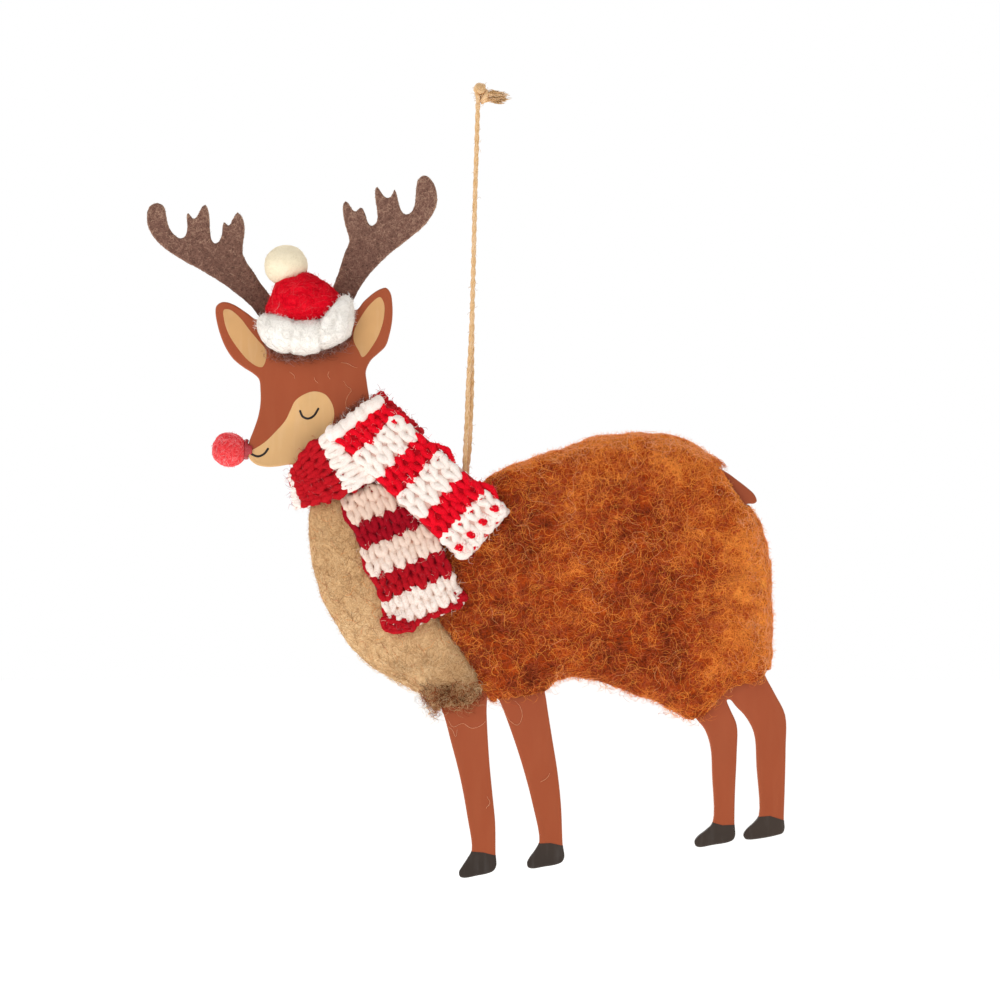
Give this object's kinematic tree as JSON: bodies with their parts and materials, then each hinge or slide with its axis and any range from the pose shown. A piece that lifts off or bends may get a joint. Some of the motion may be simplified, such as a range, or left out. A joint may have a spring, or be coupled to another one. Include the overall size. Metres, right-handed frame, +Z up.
{
  "type": "hanging reindeer ornament",
  "caption": "Flat wooden reindeer ornament dressed in felted wool, with felt antlers, a wool hat, a felt ball nose, a knitted striped scarf and a twine loop to hang it by.",
  "frame": {"origin": "where the twine loop hangs, just under its knot, in the middle plane of the wood", "axes": "+Z up along the hanging twine, -X towards the reindeer's nose, -Y out of the painted side"},
  "size_m": [0.1439, 0.0174, 0.1788],
  "materials": {
    "painted_wood": "satin russet paint",
    "brown_wool": "curly needle-felted wool",
    "cream_wool": "needle-felted wool",
    "dark_wool": "needle-felted wool",
    "antler_felt": "thick pressed felt",
    "hat_felt": "needle-felted wool",
    "trim_wool": "loose white wool",
    "pompom_felt": "felt ball",
    "nose_felt": "felt ball",
    "glue": "clear glue over red wool",
    "knit": "stocking stitch in red and white stripes",
    "twine": "two-ply jute"
  },
  "bodies": {
    "knot": {"twine_knot": "twine"},
    "strands": {"twine_front_strand": "twine", "twine_rear_strand": "twine"},
    "bight": {"twine_bight": "twine"},
    "reindeer": {"wooden_silhouette": "painted_wood", "body_wool": "brown_wool", "chest_wool": "cream_wool", "neck_wool": "dark_wool", "forelock_wool": "dark_wool", "left_antler": "antler_felt", "right_antler": "antler_felt", "hat_cone": "hat_felt", "hat_trim": "trim_wool", "hat_pompom": "pompom_felt", "nose_ball": "nose_felt", "nose_glue": "glue", "scarf_neck_loop": "knit"},
    "upper_tail": {"scarf_upper_tail": "knit"},
    "lower_tail": {"scarf_lower_tail": "knit"}
  },
  "joints": [
    {"name": "twine_twist", "type": "hinge", "parent": "knot", "child": "strands", "pos_m": [0, 0, 0], "axis": [0, 0, 1], "continuous": true},
    {"name": "side_tilt", "type": "hinge", "parent": "strands", "child": "bight", "pos_m": [-0.0026, 0, -0.0895], "axis": [1, 0, 0], "range_deg": [-20, 20]},
    {"name": "rock", "type": "hinge", "parent": "bight", "child": "reindeer", "pos_m": [-0.0026, 0, -0.0895], "axis": [0, 1, 0], "range_deg": [-20, 20]},
    {"name": "upper_tail_lift", "type": "hinge", "parent": "reindeer", "child": "upper_tail", "pos_m": [-0.0285, -0.0029, -0.0705], "axis": [-0.6691, 0, -0.7431], "range_deg": [0, 50]},
    {"name": "lower_tail_lift", "type": "hinge", "parent": "reindeer", "child": "lower_tail", "pos_m": [-0.0223, -0.006, -0.0875], "axis": [-0.927, 0, -0.375], "range_deg": [0, 30]}
  ],
  "couplings": [
    {"joint": "lower_tail_lift", "follows": "upper_tail_lift", "ratio": 0.6}
  ]
}
